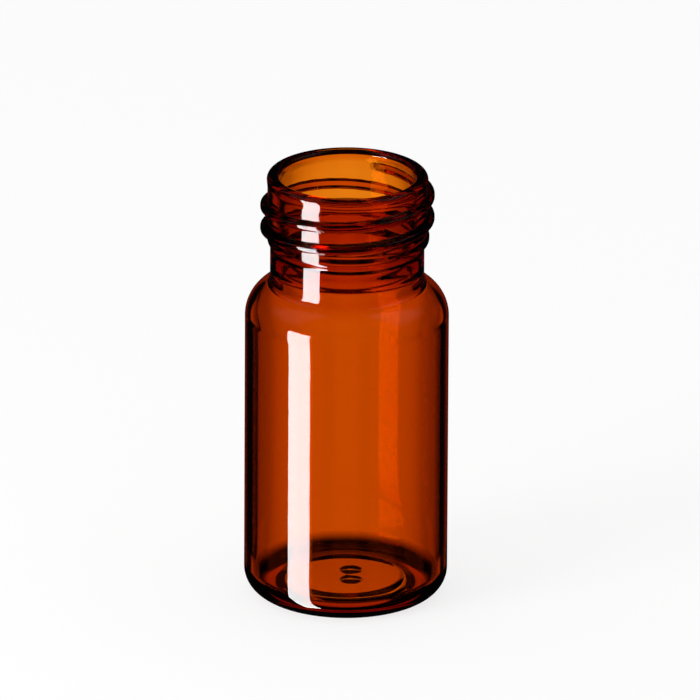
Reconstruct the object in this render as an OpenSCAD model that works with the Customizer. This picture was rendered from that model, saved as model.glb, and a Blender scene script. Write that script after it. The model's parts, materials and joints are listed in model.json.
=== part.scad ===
// Amber glass sample vial with a continuous screw thread on the neck.
// One piece of glass: a straight round body, a rounded shoulder, a plain waist,
// a threaded neck with a fire-polished lip, and a base that is pushed up a little.
// Millimetres, +Z up, standing on z = 0 with the axis of the vial on the Z axis.

/* [Body] */
// Outside diameter of the body
body_d = 28; // [25:0.5:40]
// Height from the standing ring to the top of the lip
height = 61; // [48:1:110]
// Thickness of the side wall
wall = 1.1; // [0.9:0.1:1.8]
// Radius of the rounded shoulder, on the outside
shoulder_r = 5.2; // [4:0.1:6.4]
// Radius of the rounded edge under the body, on the outside
heel_r = 3.5; // [1.6:0.1:3.8]

/* [Base] */
// Thickness of the glass over the standing ring
floor_t = 1.65; // [1.2:0.05:2.2]
// Radius of the inside corner between floor and side wall
floor_corner_r = 2.4; // [1.2:0.1:3]
// Diameter of the pushed-up middle, under the base
push_d = 15.6; // [10:0.2:15.6]
// Rise of the pushed-up middle at its edge, under the base
push_rise = 1.3; // [0.4:0.05:1.4]
// Width of the slope from the pushed-up middle down to the standing ring
push_slope_w = 2; // [1:0.1:2]
// Diameter of the raised middle of the floor, inside
floor_mid_d = 14.4; // [10:0.2:15]
// Rise of the raised middle of the floor at its edge, inside
floor_rise = 0.7; // [0.3:0.05:1.2]
// Width of the slope round the raised middle of the floor
floor_slope_w = 2.6; // [1:0.1:3]
// How much more both middles rise from their edge to their centre
crown = 0.15; // [0.05:0.05:0.3]
// Width of each of the two shallow forming marks under the middle
mark_w = 3; // [1.6:0.1:3.4]
// Depth of the forming marks
mark_depth = 0.25; // [0.1:0.05:0.4]
// Distance between the centres of the forming marks
mark_gap = 3.6; // [3.5:0.1:5]
// How far the pair of forming marks is off the axis, along X
mark_shift = 0.7; // [0:0.1:1.5]

/* [Neck] */
// Diameter of the mouth and of the bore through the neck
bore_d = 18.5; // [14:0.1:18.7]
// Diameter of the neck between the turns of the thread
root_d = 21.95; // [21.3:0.05:22.6]
// Outside diameter of the lip
lip_d = 22.15; // [21.8:0.05:22.8]
// Radius of the rounded lip
lip_r = 0.8; // [0.4:0.05:0.85]
// Height of the lip, down to the plain part of the neck
lip_h = 1.9; // [1.2:0.1:2.2]
// Diameter of the plain waist under the thread
waist_d = 21.15; // [20.6:0.05:21.9]
// Height from the top of the lip down to the top of the waist
thread_zone_h = 10.6; // [10:0.1:12]
// Height of the slope from the threaded part in to the waist
waist_slope_h = 1.6; // [0.8:0.1:2]
// Height from the top of the lip down to the fillet of the shoulder
neck_h = 15.3; // [14:0.1:18]
// Radius of the fillet between waist and shoulder, on the outside
neck_fillet_r = 0.6; // [0.4:0.1:1.6]

/* [Thread] */
// Diameter over the crest of the thread
crest_d = 23.9; // [23.2:0.05:24.4]
// Rise of the thread in one turn
pitch = 3.175; // [2.6:0.025:3.4]
// Width of the thread where it meets the neck
thread_w = 2; // [1.4:0.1:2.4]
// Height from the top of the lip down to the middle of the thread where it starts
thread_drop = 2.35; // [2.2:0.05:3]
// Direction of the start of the thread, about the axis
start_angle = 76; // [0:1:359]
// Angle that the whole thread runs through
sweep_angle = 862; // [500:1:900]
// Angle over which the thread grows to its full height
lead_in = 16; // [8:1:60]
// Angle over which the thread fades out
run_out = 180; // [60:1:400]

/* [Hidden] */
$fn = 96;

body_r = body_d / 2;
cavity_r = body_r - wall;
bore_r = bore_d / 2;
root_r = root_d / 2;
lip_out_r = lip_d / 2;
waist_r = waist_d / 2;
crest_r = crest_d / 2;
push_r = push_d / 2;
floor_mid_r = floor_mid_d / 2;
foot_r = body_r - heel_r;
floor_edge_r = cavity_r - floor_corner_r;

// The shoulder is an arc about shoulder_c. It meets the vertical waist in a fillet
// that touches both, so the centre of the fillet follows from the two radii.
shoulder_c = body_r - shoulder_r;
function rise_between(arcs, across) = sqrt(arcs * arcs - across * across);
fillet_c = waist_r + neck_fillet_r;
fillet_z = height - neck_h;
shoulder_z = fillet_z - rise_between(shoulder_r + neck_fillet_r, fillet_c - shoulder_c);
shoulder_end = atan2(fillet_z - shoulder_z, fillet_c - shoulder_c);

// The inside of the shoulder runs parallel to the outside, and opens from the bore
// in a softer fillet that is thicker by the wall of the waist.
cavity_shoulder_r = shoulder_r - wall;
throat_r = neck_fillet_r + waist_r - bore_r;
throat_c = bore_r + throat_r;
throat_z = shoulder_z + rise_between(cavity_shoulder_r + throat_r, throat_c - shoulder_c);
throat_end = atan2(throat_z - shoulder_z, throat_c - shoulder_c);

arc_steps = 10;
thread_step = 7.5;      // degrees between two sections of the thread
ridge_steps = 10;       // strips across the thread
bury = 0.4;             // depth of the thread's foot inside the wall of the neck
thread_stations = ceil(sweep_angle / thread_step);

// Points of an arc in the plane of the profile, from angle a to angle b.
function arc(x, z, r, a, b, steps = arc_steps) =
    [for (i = [0:steps]) let (t = a + (b - a) * i / steps) [x + r * cos(t), z + r * sin(t)]];

// Points of a low dome from the axis out to radius r, rising by h over height z.
function dome(r, h, z, steps = arc_steps) =
    let (ball = (r * r + h * h) / (2 * h), half = asin(r / ball))
    [for (i = [0:steps]) let (t = half * i / steps) [ball * sin(t), z + h - ball * (1 - cos(t))]];

// Points of a slope between two radii, level at both ends. Its first point is left out.
function slope(r1, z1, r2, z2, steps = arc_steps) =
    [for (i = [1:steps]) let (t = i / steps, ease = (1 - cos(180 * t)) / 2)
        [r1 + (r2 - r1) * t, z1 + (z2 - z1) * ease]];

function reversed(points) = [for (i = [len(points) - 1:-1:0]) points[i]];

// Outside of the vial, from the middle of the base up to the lip.
outside = concat(
    dome(push_r, crown, push_rise),
    slope(push_r, push_rise, push_r + push_slope_w, 0),
    arc(foot_r, heel_r, heel_r, -90, 0),
    arc(shoulder_c, shoulder_z, shoulder_r, 0, shoulder_end),
    arc(fillet_c, fillet_z, neck_fillet_r, shoulder_end + 180, 180),
    [[waist_r, height - thread_zone_h], [root_r, height - thread_zone_h + waist_slope_h],
     [root_r, height - lip_h]],
    arc(lip_out_r - lip_r, height - lip_r, lip_r, 0, 90)
);

// Inside of the vial, from the middle of the floor up to the lip.
inside = concat(
    dome(floor_mid_r, crown, floor_t + floor_rise),
    slope(floor_mid_r, floor_t + floor_rise, floor_mid_r + floor_slope_w, floor_t),
    arc(floor_edge_r, floor_t + floor_corner_r, floor_corner_r, -90, 0),
    arc(shoulder_c, shoulder_z, cavity_shoulder_r, 0, throat_end),
    arc(throat_c, throat_z, throat_r, throat_end + 180, 180),
    arc(bore_r + lip_r, height - lip_r, lip_r, 180, 90)
);

// Height of the thread above the neck, from 0 to 1, a given angle after its start.
function swell(a) =
    let (grown = min(1, a / lead_in), faded = max(0, (a - sweep_angle + run_out) / run_out))
    sin(90 * grown) * (1 - faded * faded);

// Outline across the thread: flat on the crest, with hollow flanks into the neck.
function ridge(u) = (1 + cos(180 * u * u)) / 2;

// One section of the thread, at angle a after its start. Its foot is inside the wall.
function thread_section(a) =
    let (
        turn = start_angle - a,
        z = height - thread_drop - pitch * a / 360,
        top = (crest_r - waist_r + bury) * swell(a)
    )
    concat(
        [for (i = [0:ridge_steps]) let (u = 2 * i / ridge_steps - 1, r = waist_r - bury + top * ridge(u))
            [r * cos(turn), r * sin(turn), z + u * thread_w / 2]],
        [[(waist_r - 2 * bury) * cos(turn), (waist_r - 2 * bury) * sin(turn), z]]
    );

module glass_wall() {
    rotate_extrude()
        polygon(concat(outside, reversed(inside)));
}

module thread() {
    ring = ridge_steps + 2;
    last = thread_stations * ring;
    points = [for (s = [0:thread_stations]) each thread_section(min(sweep_angle, s * thread_step))];
    sides = [
        for (s = [0:thread_stations - 1], i = [0:ring - 1])
            let (j = (i + 1) % ring, a = s * ring, b = a + ring)
            each [[a + i, b + i, a + j], [a + j, b + i, b + j]]
    ];
    start_cap = [for (i = [1:ring - 2]) [0, i, i + 1]];
    end_cap = [for (i = [1:ring - 2]) [last, last + i + 1, last + i]];
    polyhedron(points = points, faces = concat(sides, start_cap, end_cap), convexity = 8);
}

// Two shallow round marks that the forming tool leaves under the middle of the base.
module forming_marks() {
    ball = (mark_w * mark_w / 4 + mark_depth * mark_depth) / (2 * mark_depth);
    for (side = [-1, 1])
        translate([mark_shift, side * mark_gap / 2, push_rise + crown + mark_depth - ball])
            sphere(ball);
}

module vial() {
    color("#a8480a")
        difference() {
            union() {
                glass_wall();
                thread();
            }
            forming_marks();
        }
}

vial();
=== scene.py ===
"""Amber glass sample vial: the finished glass, the floor it stands on, the studio light and the camera.

All lengths are in metres, with +Z up along the axis of the vial and -Y towards the front.
"""

import json
import logging
import math
from dataclasses import dataclass
from enum import Enum

import bmesh
import bpy
from mathutils import Matrix, Vector, noise

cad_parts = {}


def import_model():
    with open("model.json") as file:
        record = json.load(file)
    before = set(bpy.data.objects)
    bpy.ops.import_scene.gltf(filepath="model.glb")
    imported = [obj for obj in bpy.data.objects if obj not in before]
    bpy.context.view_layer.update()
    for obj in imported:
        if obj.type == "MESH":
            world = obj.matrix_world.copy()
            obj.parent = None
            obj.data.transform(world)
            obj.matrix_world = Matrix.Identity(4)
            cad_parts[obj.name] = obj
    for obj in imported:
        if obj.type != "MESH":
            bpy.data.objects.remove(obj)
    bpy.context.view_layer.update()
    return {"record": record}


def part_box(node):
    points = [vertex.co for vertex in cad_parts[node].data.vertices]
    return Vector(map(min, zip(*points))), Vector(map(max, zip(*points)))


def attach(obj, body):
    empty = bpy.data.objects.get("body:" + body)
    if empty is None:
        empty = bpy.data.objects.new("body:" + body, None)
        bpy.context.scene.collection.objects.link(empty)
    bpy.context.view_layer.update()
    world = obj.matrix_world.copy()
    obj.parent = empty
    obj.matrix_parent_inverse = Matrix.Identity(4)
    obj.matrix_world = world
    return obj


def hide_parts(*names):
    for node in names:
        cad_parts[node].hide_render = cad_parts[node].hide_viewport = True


LOG = logging.getLogger("vial")
MM = 0.001


class Toward(Enum):
    """Directions along the axis of the vial."""

    MOUTH = 1
    BASE = -1


class Ends(Enum):
    """How a slope of an outline starts and stops."""

    LEVEL = "level"
    UPRIGHT = "upright"


def add_to_scene(name: str, data: bpy.types.ID) -> bpy.types.Object:
    """Makes an object of a mesh, a lamp or a camera, puts it in the scene and returns it.

    Args:
        name: The name of the object.
        data: The mesh, lamp or camera that it shows.

    Returns:
        The new object, at the origin.
    """
    made = bpy.data.objects.new(name, data)
    bpy.context.scene.collection.objects.link(made)
    LOG.info("%s is in the scene", name)
    return made


# ---------------------------------------------------------------------------
# The glass
# ---------------------------------------------------------------------------


@dataclass
class Outline:
    """A pen that draws the half outline of a turned form, in the plane of X and Z.

    Attributes:
        mesh: The mesh that takes the vertices and edges.
        tip: The vertex that the next stroke starts from.
    """

    mesh: bmesh.types.BMesh
    tip: bmesh.types.BMVert

    @classmethod
    def start(cls, radius: float, height: float) -> "Outline":
        """Puts the pen down at a radius and a height."""
        mesh = bmesh.new()
        made = bmesh.ops.create_vert(mesh, co=(radius, 0.0, height))
        return cls(mesh, made["vert"][0])

    def line_to(self, radius: float, height: float, steps: int = 1) -> None:
        """Draws a straight stroke.

        Args:
            radius: The radius of its far end.
            height: The height of its far end.
            steps: The number of edges that it is cut into.
        """
        stride = (Vector((radius, 0.0, height)) - self.tip.co) / steps
        for _ in range(steps):
            made = bmesh.ops.extrude_vert_indiv(self.mesh, verts=[self.tip])
            self.tip = made["verts"][0]
            bmesh.ops.translate(self.mesh, verts=[self.tip], vec=stride)

    def ease_to(self, radius: float, height: float, steps: int, ends: Ends) -> None:
        """Draws a slope that is soft at both ends.

        Args:
            radius: The radius of its far end.
            height: The height of its far end.
            steps: The number of edges that it is cut into.
            ends: LEVEL to start and stop flat, UPRIGHT to start and stop straight up or down.
        """
        start = self.tip.co.copy()
        for step in range(1, steps + 1):
            part = step / steps
            eased = (1.0 - math.cos(math.pi * part)) / 2.0
            across = eased if ends is Ends.UPRIGHT else part
            along = part if ends is Ends.UPRIGHT else eased
            self.line_to(start.x + (radius - start.x) * across, start.z + (height - start.z) * along)

    def arc_about(self, radius: float, height: float, angle: float, steps: int) -> None:
        """Draws an arc from the tip of the pen.

        Args:
            radius: The radius of the arc's centre.
            height: The height of the arc's centre.
            angle: The angle to turn through, in radians, from +X towards +Z.
            steps: The number of edges in the arc.
        """
        made = bmesh.ops.spin(
            self.mesh,
            geom=[self.tip],
            cent=(radius, 0.0, height),
            axis=(0.0, -1.0, 0.0),
            dvec=(0.0, 0.0, 0.0),
            angle=angle,
            steps=steps,
            use_merge=False,
            use_normal_flip=False,
            use_duplicate=False,
        )
        self.tip = next(v for v in made["geom_last"] if isinstance(v, bmesh.types.BMVert))

    def dome(self, radius: float, rise: float, steps: int, end: Toward) -> None:
        """Draws a low dome, outwards from the axis or inwards to it.

        Args:
            radius: The radius of the dome's edge.
            rise: The rise of the dome.
            steps: The number of edges in the stroke.
            end: BASE to draw outwards and down, MOUTH to draw inwards and up.
        """
        ball = (radius**2 + rise**2) / (2.0 * rise)
        half = math.asin(radius / ball)
        if end is Toward.BASE:
            self.arc_about(0.0, self.tip.co.z - ball, -half, steps)
        else:
            self.arc_about(0.0, self.tip.co.z + rise - ball, half, steps)


@dataclass(frozen=True)
class Thread:
    """The screw thread of the neck: a rounded ridge on a right-hand helix.

    Attributes:
        crest: The radius over the crest.
        foot: The radius of its foot, inside the wall of the neck.
        top: The height of the middle of the ridge where it starts.
        pitch: The rise in one turn.
        width: The width where the ridge meets the neck.
        start: The direction of the start, in degrees about the axis.
        sweep: The angle that the whole thread runs through, in degrees.
        lead_in: The angle over which it grows to its full height, in degrees.
        run_out: The angle over which it fades away, in degrees.
    """

    crest: float
    foot: float
    top: float
    pitch: float = 3.175 * MM
    width: float = 2.0 * MM
    start: float = 76.0
    sweep: float = 862.0
    lead_in: float = 16.0
    run_out: float = 180.0

    def swell(self, along: float) -> float:
        """Returns how much of its height the ridge has, an angle in degrees after its start."""
        if along <= 0.0 or along >= self.sweep:
            return 0.0
        grown = math.sin(math.radians(90.0 * min(1.0, along / self.lead_in)))
        faded = max(0.0, (along - self.sweep + self.run_out) / self.run_out)
        return grown * (1.0 - faded * faded)

    def radius_at(self, turn: float, z: float) -> float:
        """Works out how far out the ridge reaches.

        Args:
            turn: The direction of the place about the axis, in degrees.
            z: The height of the place.

        Returns:
            The radius of the ridge there, or 0 where there is none.
        """
        most = 0.0
        along = (self.start - turn) % 360.0
        while along < self.sweep:
            across = (z - self.top + self.pitch * along / 360.0) / (self.width / 2.0)
            if abs(across) < 1.0:
                outline = 0.5 + 0.5 * math.cos(math.pi * across * across)
                most = max(most, self.foot + (self.crest - self.foot) * self.swell(along) * outline)
            along += 360.0
        return most


@dataclass(frozen=True)
class VialGlass:
    """The one piece of glass: base, body, shoulder, threaded neck and lip.

    Attributes:
        body_r: Outside radius of the body.
        height: Height of the vial.
        bore_r: Radius of the mouth.
        wall: Thickness of the side wall.
        shoulder_r: Radius of the rounded shoulder, on the outside.
        heel_r: Radius of the rounded edge under the body.
        floor_t: Thickness of the glass over the standing ring.
        floor_corner_r: Radius of the inside corner between floor and side wall.
        push_r: Radius of the pushed-up middle, under the base.
        push_rise: Rise of the pushed-up middle at its edge.
        push_slope_w: Width of the slope from it down to the standing ring.
        floor_mid_r: Radius of the raised middle of the floor, inside.
        floor_rise: Rise of the raised middle of the floor at its edge.
        floor_slope_w: Width of the slope round the raised middle.
        crown: How much more both middles rise from their edge to their centre.
        mark_r: Radius of each of the two forming marks.
        mark_depth: Depth of the forming marks.
        mark_gap: Distance between the centres of the forming marks.
        mark_shift: How far the pair of marks is off the axis, along X.
        root_r: Radius of the neck between the turns of the thread.
        lip_out_r: Outside radius of the lip.
        lip_r: Radius of the rounded lip.
        lip_h: Height of the lip, down to the plain part of the neck.
        waist_r: Radius of the plain waist under the thread.
        thread_zone_h: Height from the top of the lip down to the waist.
        waist_slope_h: Height of the slope from the threaded part in to the waist.
        neck_h: Height from the top of the lip down to the fillet of the shoulder.
        neck_fillet_r: Radius of the fillet between waist and shoulder.
        crest_r: Radius over the crest of the thread.
        thread_drop: Height from the top of the lip down to the start of the thread.
        thread_bury: Depth of the thread's foot inside the wall of the neck.
        bore_swell: Places down the bore: the drop below the lip, and how much wider it is there.
        throat_r: Radius of the edge where the bore opens into the shoulder.
        ripple: Depth of the faint unevenness inside the neck.
        ripple_across: Waves of the unevenness in a metre across the vial.
        ripple_along: Waves of the unevenness in a metre along the vial.
        around: Number of steps that the outline is turned in.
    """

    body_r: float
    height: float
    bore_r: float
    wall: float = 1.1 * MM
    shoulder_r: float = 5.2 * MM
    heel_r: float = 3.5 * MM
    floor_t: float = 1.65 * MM
    floor_corner_r: float = 2.4 * MM
    push_r: float = 7.8 * MM
    push_rise: float = 1.3 * MM
    push_slope_w: float = 2.0 * MM
    floor_mid_r: float = 7.2 * MM
    floor_rise: float = 0.7 * MM
    floor_slope_w: float = 2.6 * MM
    crown: float = 0.15 * MM
    mark_r: float = 1.5 * MM
    mark_depth: float = 0.25 * MM
    mark_gap: float = 3.6 * MM
    mark_shift: float = 0.7 * MM
    root_r: float = 10.975 * MM
    lip_out_r: float = 11.075 * MM
    lip_r: float = 0.8 * MM
    lip_h: float = 1.9 * MM
    waist_r: float = 10.575 * MM
    thread_zone_h: float = 10.6 * MM
    waist_slope_h: float = 1.2 * MM
    neck_h: float = 15.02 * MM
    neck_fillet_r: float = 1.05 * MM
    crest_r: float = 11.95 * MM
    thread_drop: float = 2.35 * MM
    thread_bury: float = 0.4 * MM
    bore_swell: tuple[tuple[float, float], ...] = (
        (1.9 * MM, 0.25 * MM),
        (3.7 * MM, 0.3 * MM),
        (6.8 * MM, 0.35 * MM),
        (8.5 * MM, 0.0 * MM),
        (10.0 * MM, -0.25 * MM),
        (11.6 * MM, -0.68 * MM),
        (13.0 * MM, -0.5 * MM),
        (14.4 * MM, -0.03 * MM),
    )
    throat_r: float = 1.4 * MM
    ripple: float = 0.03 * MM
    ripple_across: float = 90.0
    ripple_along: float = 420.0
    around: int = 216

    @property
    def shoulder_c(self) -> float:
        """The radius at which the centre of the shoulder's arc lies."""
        return self.body_r - self.shoulder_r

    @property
    def shoulder_z(self) -> float:
        """The height of the centre of the shoulder's arc."""
        reach = self.shoulder_r + self.neck_fillet_r
        across = self.waist_r + self.neck_fillet_r - self.shoulder_c
        return self.height - self.neck_h - math.sqrt(reach**2 - across**2)

    def build(self) -> bpy.types.Object:
        """Turns the outline into glass, raises the thread on it and returns the finished piece."""
        pen = Outline.start(0.0, self.push_rise + self.crown)
        self._draw_base(pen)
        self._draw_side(pen)
        self._draw_neck(pen)
        self._draw_bore(pen)
        self._draw_cavity(pen)
        mesh = self._turn(pen.mesh)
        self._raise_thread(mesh)
        self._press_marks(mesh)
        self._ripple(mesh)
        self._put_in_order(mesh)
        data = bpy.data.meshes.new("vial_glass")
        mesh.to_mesh(data)
        mesh.free()
        data.shade_smooth()
        return add_to_scene("vial_glass", data)

    def _draw_base(self, pen: Outline) -> None:
        """Draws the underside, from the axis out to the foot of the heel."""
        pen.dome(self.push_r, self.crown, steps=26, end=Toward.BASE)
        pen.ease_to(self.push_r + self.push_slope_w, 0.0, steps=20, ends=Ends.LEVEL)
        pen.line_to(self.body_r - self.heel_r, 0.0, steps=2)

    def _draw_side(self, pen: Outline) -> None:
        """Draws the heel, the straight side, the shoulder and the fillet of the neck."""
        pen.arc_about(self.body_r - self.heel_r, self.heel_r, math.radians(90.0), steps=18)
        fillet_c = self.waist_r + self.neck_fillet_r
        fillet_z = self.height - self.neck_h
        shoulder_end = math.atan2(fillet_z - self.shoulder_z, fillet_c - self.shoulder_c)
        pen.line_to(self.body_r, self.shoulder_z, steps=16)
        pen.arc_about(self.shoulder_c, self.shoulder_z, shoulder_end, steps=22)
        pen.arc_about(fillet_c, fillet_z, -shoulder_end, steps=10)

    def _draw_neck(self, pen: Outline) -> None:
        """Draws the outside of the neck, without its thread, and the lip."""
        top = self.height
        slope_z = top - self.thread_zone_h
        pen.line_to(self.waist_r, slope_z, steps=20)
        pen.ease_to(self.root_r, slope_z + self.waist_slope_h, steps=16, ends=Ends.UPRIGHT)
        pen.line_to(self.root_r, top - self.lip_h, steps=70)
        pen.line_to(self.lip_out_r, top - self.lip_r, steps=8)
        pen.arc_about(self.lip_out_r - self.lip_r, top - self.lip_r, math.radians(90.0), steps=12)
        pen.line_to(self.bore_r + self.lip_r, top)
        pen.arc_about(self.bore_r + self.lip_r, top - self.lip_r, math.radians(90.0), steps=12)

    def _draw_bore(self, pen: Outline) -> None:
        """Draws the uneven bore down to the throat, and the throat into the shoulder."""
        for drop, wider in self.bore_swell:
            pen.ease_to(self.bore_r + wider, self.height - drop, steps=10, ends=Ends.UPRIGHT)
        throat_c = self.bore_r + self.bore_swell[-1][1] + self.throat_r
        reach = self.shoulder_r - self.wall + self.throat_r
        throat_z = self.shoulder_z + math.sqrt(reach**2 - (throat_c - self.shoulder_c) ** 2)
        throat_end = math.atan2(throat_z - self.shoulder_z, throat_c - self.shoulder_c)
        pen.line_to(pen.tip.co.x, throat_z, steps=4)
        pen.arc_about(throat_c, throat_z, throat_end, steps=16)
        pen.arc_about(self.shoulder_c, self.shoulder_z, -throat_end, steps=16)

    def _draw_cavity(self, pen: Outline) -> None:
        """Draws the inside of the body and the floor, in to the axis."""
        cavity_r = self.body_r - self.wall
        corner_z = self.floor_t + self.floor_corner_r
        pen.line_to(cavity_r, corner_z, steps=10)
        pen.arc_about(cavity_r - self.floor_corner_r, corner_z, math.radians(-90.0), steps=14)
        pen.line_to(self.floor_mid_r + self.floor_slope_w, self.floor_t, steps=3)
        pen.ease_to(self.floor_mid_r, self.floor_t + self.floor_rise, steps=20, ends=Ends.LEVEL)
        pen.dome(self.floor_mid_r, self.crown, steps=18, end=Toward.MOUTH)

    def _turn(self, mesh: bmesh.types.BMesh) -> bmesh.types.BMesh:
        """Spins the outline once about the axis and closes it at both poles."""
        merge = 1e-7
        for vert in mesh.verts:
            if abs(vert.co.x) < merge:
                vert.co.x = 0.0
        bmesh.ops.spin(
            mesh,
            geom=mesh.verts[:] + mesh.edges[:],
            cent=(0.0, 0.0, 0.0),
            axis=(0.0, 0.0, 1.0),
            dvec=(0.0, 0.0, 0.0),
            angle=math.tau,
            steps=self.around,
            use_merge=True,
            use_normal_flip=False,
            use_duplicate=False,
        )
        bmesh.ops.remove_doubles(mesh, verts=mesh.verts[:], dist=merge)
        bmesh.ops.recalc_face_normals(mesh, faces=mesh.faces[:])
        if mesh.calc_volume(signed=True) < 0.0:
            bmesh.ops.reverse_faces(mesh, faces=mesh.faces[:])
        return mesh

    def _raise_thread(self, mesh: bmesh.types.BMesh) -> None:
        """Pushes the outside of the neck out along the helix of the thread."""
        foot = self.waist_r - self.thread_bury
        thread = Thread(crest=self.crest_r, foot=foot, top=self.height - self.thread_drop)
        low = self.height - self.neck_h
        high = self.height - self.lip_r
        inside = (self.bore_r + self.waist_r) / 2.0
        for vert in mesh.verts:
            radius = math.hypot(vert.co.x, vert.co.y)
            if not (low < vert.co.z < high and radius > inside):
                continue
            turn = math.degrees(math.atan2(vert.co.y, vert.co.x))
            vert.co.xy *= max(1.0, thread.radius_at(turn, vert.co.z) / radius)

    def _press_marks(self, mesh: bmesh.types.BMesh) -> None:
        """Presses the two shallow round marks into the underside of the base."""
        underside = self.push_rise + self.crown + 1e-6
        centres = [Vector((self.mark_shift, side * self.mark_gap / 2.0)) for side in (-1.0, 1.0)]
        for vert in mesh.verts:
            if vert.co.z > underside:
                continue
            for centre in centres:
                away = (vert.co.xy - centre).length / self.mark_r
                if away < 1.0:
                    vert.co.z += self.mark_depth * (1.0 - away * away)

    @staticmethod
    def _put_in_order(mesh: bmesh.types.BMesh) -> None:
        """Sorts the faces by their vertices, so that every run makes the same list of faces."""
        mesh.verts.index_update()
        count = len(mesh.verts)

        def place(face: bmesh.types.BMFace) -> float:
            """Returns the place of a face in the list."""
            corners = [vert.index for vert in face.verts]
            return float(min(corners) * count + max(corners)) + sum(corners) / (4.0 * count)

        mesh.faces.sort(key=place)
        mesh.faces.index_update()

    def _ripple(self, mesh: bmesh.types.BMesh) -> None:
        """Gives the inside of the neck and shoulder the faint unevenness of blown glass."""
        low = self.height - self.neck_h - self.shoulder_r
        widest = self.bore_r + max(wider for _, wider in self.bore_swell) + 0.1 * MM
        across = self.ripple_across
        for vert in mesh.verts:
            radius = math.hypot(vert.co.x, vert.co.y)
            if vert.co.z < low or radius < 1e-6 or radius > widest:
                continue
            place = Vector((vert.co.x * across, vert.co.y * across, vert.co.z * self.ripple_along))
            factor = (radius + noise.noise(place) * self.ripple) / radius
            vert.co.x *= factor
            vert.co.y *= factor


@dataclass(frozen=True)
class AmberGlass:
    """Clear brown laboratory glass, coloured through its thickness.

    Attributes:
        ior: The index of refraction.
        tint: What a unit depth lets through, as the absorption colour.
        density: How strongly the glass absorbs, per metre.
        haze_scale: Patches of haze in a metre.
        haze_from: The level of the patches at which the haze starts.
        haze_full: The level of the patches at which it is full.
        haze_most: The roughness of the full haze.
        draw_scale: Draw marks in a metre across the glass.
        draw_stretch: The scale of the draw marks along the glass, as a share of that across it.
        draw_strength: How strongly the draw marks show.
        draw_depth: The depth of the draw marks.
    """

    ior: float = 1.5
    tint: tuple[float, float, float] = (0.906, 0.653, 0.0)
    density: float = 3800.0
    haze_scale: float = 140.0
    haze_from: float = 0.35
    haze_full: float = 0.75
    haze_most: float = 0.012
    draw_scale: float = 120.0
    draw_stretch: float = 0.25
    draw_strength: float = 0.007
    draw_depth: float = 0.1 * MM

    def make(self) -> bpy.types.Material:
        """Builds the material and returns it."""
        material = bpy.data.materials.new("brown_glass")
        material.use_nodes = True
        tree = material.node_tree
        tree.nodes.clear()
        out = tree.nodes.new("ShaderNodeOutputMaterial")
        shader = tree.nodes.new("ShaderNodeBsdfPrincipled")
        shader.inputs["Base Color"].default_value = (1.0, 1.0, 1.0, 1.0)
        shader.inputs["Transmission Weight"].default_value = 1.0
        shader.inputs["IOR"].default_value = self.ior
        tree.links.new(shader.outputs["BSDF"], out.inputs["Surface"])
        volume = tree.nodes.new("ShaderNodeVolumeAbsorption")
        volume.inputs["Color"].default_value = (*self.tint, 1.0)
        volume.inputs["Density"].default_value = self.density
        tree.links.new(volume.outputs["Volume"], out.inputs["Volume"])
        place = tree.nodes.new("ShaderNodeTexCoord").outputs["Object"]
        self._add_haze(tree, shader, place)
        self._add_draw_marks(tree, shader, place)
        return material

    def _add_haze(
        self, tree: bpy.types.NodeTree, shader: bpy.types.Node, place: bpy.types.NodeSocket
    ) -> None:
        """Adds a trace of haze to the fire-polished surface.

        Args:
            tree: The node tree of the material.
            shader: The shader whose roughness is set.
            place: The socket with the place on the glass.
        """
        haze = tree.nodes.new("ShaderNodeTexNoise")
        haze.inputs["Scale"].default_value = self.haze_scale
        haze.inputs["Detail"].default_value = 3.0
        tree.links.new(place, haze.inputs["Vector"])
        level = tree.nodes.new("ShaderNodeMapRange")
        level.inputs["From Min"].default_value = self.haze_from
        level.inputs["From Max"].default_value = self.haze_full
        level.inputs["To Min"].default_value = 0.0
        level.inputs["To Max"].default_value = self.haze_most
        tree.links.new(haze.outputs["Fac"], level.inputs["Value"])
        tree.links.new(level.outputs["Result"], shader.inputs["Roughness"])

    def _add_draw_marks(
        self, tree: bpy.types.NodeTree, shader: bpy.types.Node, place: bpy.types.NodeSocket
    ) -> None:
        """Adds the long shallow marks that drawing the glass leaves along it.

        Args:
            tree: The node tree of the material.
            shader: The shader whose normal is bent.
            place: The socket with the place on the glass.
        """
        stretch = tree.nodes.new("ShaderNodeMapping")
        stretch.inputs["Scale"].default_value = (1.0, 1.0, self.draw_stretch)
        tree.links.new(place, stretch.inputs["Vector"])
        draw = tree.nodes.new("ShaderNodeTexNoise")
        draw.inputs["Scale"].default_value = self.draw_scale
        draw.inputs["Detail"].default_value = 1.0
        tree.links.new(stretch.outputs["Vector"], draw.inputs["Vector"])
        bump = tree.nodes.new("ShaderNodeBump")
        bump.inputs["Strength"].default_value = self.draw_strength
        bump.inputs["Distance"].default_value = self.draw_depth
        tree.links.new(draw.outputs["Fac"], bump.inputs["Height"])
        tree.links.new(bump.outputs["Normal"], shader.inputs["Normal"])


# ---------------------------------------------------------------------------
# The studio
# ---------------------------------------------------------------------------


@dataclass(frozen=True)
class Window:
    """A bright window in the dim surroundings, placed by where it is seen from the vial.

    The sides are pairs of angles in degrees: where the light has died away, and where it is full.

    Attributes:
        azimuth: The direction of its middle, about +Z from +Y towards -X.
        left: The edge on the side of larger azimuths, measured from the middle.
        right: The edge on the side of smaller azimuths, measured from the middle.
        bottom: The lower edge, above the horizon.
        top: The upper edge, above the horizon.
        strength: The strength of the light in its middle.
    """

    azimuth: float
    left: tuple[float, float]
    right: tuple[float, float]
    bottom: tuple[float, float]
    top: tuple[float, float]
    strength: float = 1.0


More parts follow.
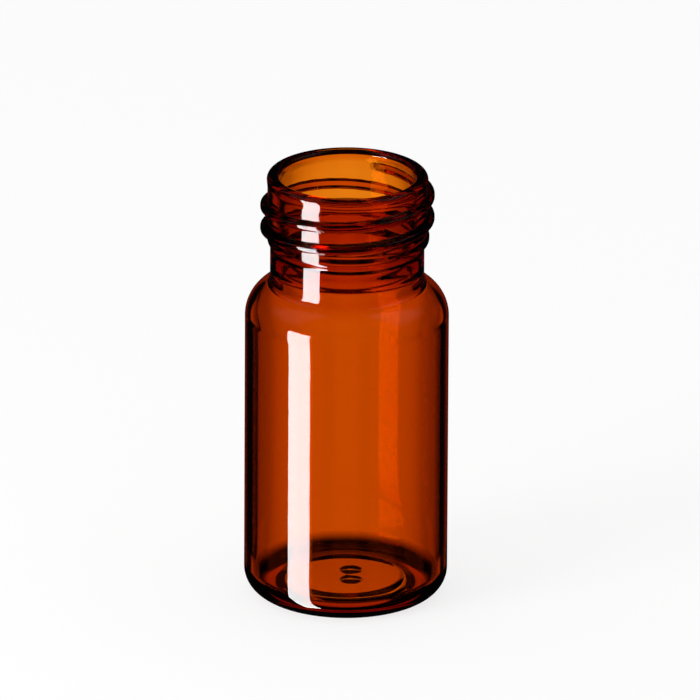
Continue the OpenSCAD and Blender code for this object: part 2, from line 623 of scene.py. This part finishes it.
def behind_and_lamp() -> tuple[Window, ...]:
    """Returns the panel behind the vial, and the strip lamp as it is seen through the glass."""
    low = (-28.0, -24.0)
    high = (12.0, 2.0)
    return (
        Window(0.0, left=(14.0, 0.0), right=(14.0, 0.0), bottom=low, top=high, strength=1.7),
        Window(0.0, left=(15.5, 12.5), right=(23.0, 13.0), bottom=low, top=high, strength=0.94),
        Window(
            azimuth=125.2,
            left=(14.5, 13.0),
            right=(14.5, 13.0),
            bottom=(-67.0, -65.0),
            top=(15.5, 14.0),
            strength=11.0,
        ),
    )


def round_about() -> tuple[Window, ...]:
    """Returns the windows that light the glass for views from the sides, the back, above and below.

    The two pairs beside the panel leave out the height at which the panel is seen from the camera.
    """
    edge = (14.0, 8.0)
    wide_edge = (19.0, 11.0)
    no_edge = (190.0, 185.0)
    high = (12.0, 2.0)
    windows = []
    for azimuth in (45.0, -45.0):
        under = Window(azimuth, edge, edge, bottom=(-42.0, -34.0), top=(-22.3, -23.8), strength=1.3)
        over = Window(azimuth, edge, edge, bottom=(-19.2, -17.6), top=high, strength=1.3)
        windows += [under, over]
    for azimuth in (90.0, 135.0, 180.0, -135.0, -90.0):
        windows.append(Window(azimuth, wide_edge, wide_edge, bottom=(-50.0, -44.0), top=high))
    below = Window(0.0, no_edge, no_edge, bottom=(-95.0, -93.0), top=(-62.0, -68.0), strength=1.3)
    above = Window(0.0, no_edge, no_edge, bottom=(40.0, 50.0), top=(95.0, 93.0), strength=1.1)
    return (*windows, below, above)


def either_side() -> tuple[Window, ...]:
    """Returns the faint high windows that the surface of the glass mirrors, right and left."""
    edge = (40.0, 10.0)
    low = (20.0, 40.0)
    high = (85.0, 65.0)
    return tuple(Window(side, edge, edge, low, high, strength=0.25) for side in (90.0, -90.0))


@dataclass(frozen=True)
class Surroundings:
    """The light that comes from all round, for each kind of ray.

    Attributes:
        through: The windows that are seen through the glass.
        mirrored: The windows that the surface of the glass mirrors.
        dim: The strength of the light from the rest of the surroundings.
        fill: The strength of the soft light that falls on the floor.
        backdrop: The strength of the light from the plain backdrop.
    """

    through: tuple[Window, ...] = behind_and_lamp() + round_about()
    mirrored: tuple[Window, ...] = either_side()
    dim: float = 0.005
    fill: float = 0.7
    backdrop: float = 1.0

    def build(self) -> None:
        """Makes the world and hangs it in the scene."""
        world = bpy.data.worlds.new("studio")
        bpy.context.scene.world = world
        world.use_nodes = True
        tree = world.node_tree
        tree.nodes.clear()
        azimuth, elevation = self._direction(tree)
        lights = {
            "Is Glossy Ray": self._light(tree, azimuth, elevation, self.mirrored),
            "Is Transmission Ray": self._light(tree, azimuth, elevation, self.through),
            "Is Camera Ray": self._plain(tree, self.backdrop),
        }
        path = tree.nodes.new("ShaderNodeLightPath")
        seen = self._plain(tree, self.fill)
        for kind, light in lights.items():
            pick = tree.nodes.new("ShaderNodeMixShader")
            tree.links.new(path.outputs[kind], pick.inputs[0])
            tree.links.new(seen, pick.inputs[1])
            tree.links.new(light, pick.inputs[2])
            seen = pick.outputs[0]
        out = tree.nodes.new("ShaderNodeOutputWorld")
        tree.links.new(seen, out.inputs["Surface"])
        LOG.info("surroundings: %d windows", len(self.through) + len(self.mirrored))

    @staticmethod
    def _plain(tree: bpy.types.NodeTree, level: float) -> bpy.types.NodeSocket:
        """Returns a light of one strength all round."""
        light = tree.nodes.new("ShaderNodeBackground")
        light.inputs["Strength"].default_value = level
        return light.outputs[0]

    @staticmethod
    def _math(
        tree: bpy.types.NodeTree, operation: str, *values: float | bpy.types.NodeSocket
    ) -> bpy.types.NodeSocket:
        """Adds one step of arithmetic.

        Args:
            tree: The node tree that it is added to.
            operation: The name of the operation.
            values: What goes into it, each a number or a socket.

        Returns:
            The socket with the result.
        """
        node = tree.nodes.new("ShaderNodeMath")
        node.operation = operation
        for slot, value in zip(node.inputs, values):
            if isinstance(value, bpy.types.NodeSocket):
                tree.links.new(value, slot)
            else:
                slot.default_value = value
        return node.outputs[0]

    def _direction(self, tree: bpy.types.NodeTree) -> tuple[bpy.types.NodeSocket, bpy.types.NodeSocket]:
        """Returns the azimuth and the elevation of a direction, in degrees."""
        place = tree.nodes.new("ShaderNodeTexCoord")
        split = tree.nodes.new("ShaderNodeSeparateXYZ")
        tree.links.new(place.outputs["Generated"], split.inputs["Vector"])
        side = self._math(tree, "MULTIPLY", split.outputs["X"], -1.0)
        turn = self._math(tree, "ARCTAN2", side, split.outputs["Y"])
        rise = self._math(tree, "ARCSINE", split.outputs["Z"])
        return self._math(tree, "DEGREES", turn), self._math(tree, "DEGREES", rise)

    def _light(
        self,
        tree: bpy.types.NodeTree,
        azimuth: bpy.types.NodeSocket,
        elevation: bpy.types.NodeSocket,
        windows: tuple[Window, ...],
    ) -> bpy.types.NodeSocket:
        """Adds the light of a set of windows, with the dim light between them.

        Args:
            tree: The node tree that it is added to.
            azimuth: The azimuth of the direction, in degrees.
            elevation: The elevation of the direction, in degrees.
            windows: The windows.

        Returns:
            The socket with the light.
        """
        level = self.dim
        for window in windows:
            away = self._math(tree, "SUBTRACT", azimuth, window.azimuth)
            away = self._math(tree, "WRAP", away, 180.0, -180.0)
            parts = [
                self._fade(tree, away, window.left[0], window.left[1]),
                self._fade(tree, away, -window.right[0], -window.right[1]),
                self._fade(tree, elevation, window.bottom[0], window.bottom[1]),
                self._fade(tree, elevation, window.top[0], window.top[1]),
            ]
            lit = window.strength
            for part in parts:
                lit = self._math(tree, "MULTIPLY", part, lit)
            level = self._math(tree, "MAXIMUM", lit, level)
        light = tree.nodes.new("ShaderNodeBackground")
        tree.links.new(level, light.inputs["Strength"])
        return light.outputs[0]

    @staticmethod
    def _fade(
        tree: bpy.types.NodeTree, angle: bpy.types.NodeSocket, none: float, full: float
    ) -> bpy.types.NodeSocket:
        """Adds the smooth edge of a window.

        Args:
            tree: The node tree that it is added to.
            angle: The socket with the angle that is measured.
            none: The angle at which the light has died away.
            full: The angle at which it is full.

        Returns:
            The socket with the share of the light, from 0 to 1.
        """
        edge = tree.nodes.new("ShaderNodeMapRange")
        edge.interpolation_type = "SMOOTHSTEP"
        edge.inputs["From Min"].default_value = none
        edge.inputs["From Max"].default_value = full
        tree.links.new(angle, edge.inputs["Value"])
        return edge.outputs["Result"]


@dataclass(frozen=True)
class WhiteFloor:
    """A plain white floor that keeps the shadow of what stands on it.

    Attributes:
        size: The length of its sides.
        shade: How much of the light it gives back to the camera.
        glow: Its own brightness, which lifts it to the white of the backdrop.
        plain: How pale it is to the light that bounces off it.
    """

    size: float = 1.6
    shade: float = 0.3
    glow: float = 0.78
    plain: float = 0.8

    def build(self) -> None:
        """Lays the floor under the vial."""
        mesh = bmesh.new()
        bmesh.ops.create_grid(mesh, x_segments=1, y_segments=1, size=self.size / 2.0)
        data = bpy.data.meshes.new("floor")
        mesh.to_mesh(data)
        mesh.free()
        data.materials.append(self._finish())
        floor = add_to_scene("floor", data)
        floor.visible_glossy = False
        floor.visible_transmission = False

    def _finish(self) -> bpy.types.Material:
        """Builds the material of the floor and returns it."""
        material = bpy.data.materials.new("floor_white")
        material.use_nodes = True
        tree = material.node_tree
        tree.nodes.clear()
        shaded = tree.nodes.new("ShaderNodeBsdfDiffuse")
        shaded.inputs["Color"].default_value = (self.shade, self.shade, self.shade, 1.0)
        glow = tree.nodes.new("ShaderNodeEmission")
        glow.inputs["Strength"].default_value = self.glow
        both = tree.nodes.new("ShaderNodeAddShader")
        tree.links.new(shaded.outputs["BSDF"], both.inputs[0])
        tree.links.new(glow.outputs["Emission"], both.inputs[1])
        plain = tree.nodes.new("ShaderNodeBsdfDiffuse")
        plain.inputs["Color"].default_value = (self.plain, self.plain, self.plain, 1.0)
        path = tree.nodes.new("ShaderNodeLightPath")
        choose = tree.nodes.new("ShaderNodeMixShader")
        tree.links.new(path.outputs["Is Camera Ray"], choose.inputs[0])
        tree.links.new(plain.outputs["BSDF"], choose.inputs[1])
        tree.links.new(both.outputs["Shader"], choose.inputs[2])
        out = tree.nodes.new("ShaderNodeOutputMaterial")
        tree.links.new(choose.outputs["Shader"], out.inputs["Surface"])
        return material


@dataclass(frozen=True)
class StripLamp:
    """The tall strip lamp on the left of the front, which draws the long highlight.

    Attributes:
        away: Its distance from the axis of the vial.
        azimuth: Its direction about the axis, from the front towards the right, in degrees.
        spread: Half of the angle that it takes up across, in degrees.
        below: How far it reaches below the middle of the vial, in degrees.
        above: How far it reaches above the middle of the vial, in degrees.
        level: The height from which its reach is measured.
        radiance: Its brightness, where 1 is white.
    """

    away: float = 0.45
    azimuth: float = -54.8
    spread: float = 13.5
    below: float = 62.0
    above: float = 15.0
    level: float = 0.03
    radiance: float = 18.0

    def build(self) -> None:
        """Hangs the lamp, turned towards the vial."""
        foot = -math.tan(math.radians(self.below)) * self.away
        head = math.tan(math.radians(self.above)) * self.away
        light = bpy.data.lights.new("strip", "AREA")
        light.shape = "RECTANGLE"
        light.size = 2.0 * self.away * math.tan(math.radians(self.spread))
        light.size_y = head - foot
        light.energy = self.radiance * math.pi * light.size * light.size_y
        lamp = add_to_scene("strip", light)
        lamp.visible_transmission = False
        turn = math.radians(self.azimuth)
        direction = Vector((math.sin(turn), -math.cos(turn), 0.0))
        lamp.location = direction * self.away + Vector((0.0, 0.0, self.level + (head + foot) / 2.0))
        lamp.rotation_mode = "QUATERNION"
        lamp.rotation_quaternion = direction.to_track_quat("Z", "Y")


@dataclass(frozen=True)
class Camera:
    """A long lens, a little above the vial and in front of it.

    Attributes:
        elevation: The angle above the horizon, in degrees.
        lens: The focal length, in millimetres.
        sensor: The width of the sensor, in millimetres.
        field_width: The width of the view at the vial, in metres.
        roll: The turn about the line of sight, in degrees.
        sideways: How far to the right of the axis it aims.
        upwards: How far above the aimed height it aims, across the line of sight.
        aim_share: The height that it aims at, as a share of the height of the vial.
    """

    elevation: float = 20.9
    lens: float = 1000.0
    sensor: float = 36.0
    field_width: float = 96.2 * MM
    roll: float = 0.305
    sideways: float = 0.45 * MM
    upwards: float = 6.7 * MM
    aim_share: float = 28.0 / 61.0

    def build(self, height: float) -> None:
        """Stands the camera in front of a vial of the given height."""
        data = bpy.data.cameras.new("camera")
        data.lens = self.lens
        data.sensor_width = self.sensor
        away = self.field_width * self.lens / self.sensor
        data.clip_start = away * 0.5
        data.clip_end = away * 4.0
        tilt = math.radians(self.elevation)
        back = Vector((0.0, -math.cos(tilt), math.sin(tilt)))
        right = Vector((1.0, 0.0, 0.0))
        up = back.cross(right)
        aim = Vector((0.0, 0.0, height * self.aim_share)) + right * self.sideways + up * self.upwards
        turn = Matrix((right, up, back)).transposed().to_4x4()
        turn = turn @ Matrix.Rotation(math.radians(self.roll), 4, "Z")
        camera = add_to_scene("camera", data)
        camera.matrix_world = Matrix.Translation(aim + back * away) @ turn
        bpy.context.scene.camera = camera


def main() -> None:
    """Builds the vial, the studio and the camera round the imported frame."""
    logging.basicConfig(level=logging.INFO, format="%(name)s: %(message)s")
    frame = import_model()
    low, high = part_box("vial")
    mouth = next(m for m in frame["record"]["mounts"] if m["name"] == "mouth")

    glass = VialGlass(
        body_r=(high[0] - low[0]) / 2.0,
        height=high[2] - low[2],
        bore_r=mouth["dims"]["r_mm"] * MM,
    )
    piece = glass.build()
    piece.data.materials.append(AmberGlass().make())
    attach(piece, "root")
    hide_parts("vial")

    WhiteFloor().build()
    Surroundings().build()
    StripLamp().build()
    Camera().build(glass.height)
    bpy.context.scene.view_settings.view_transform = "Standard"


if __name__ == "__main__":
    main()
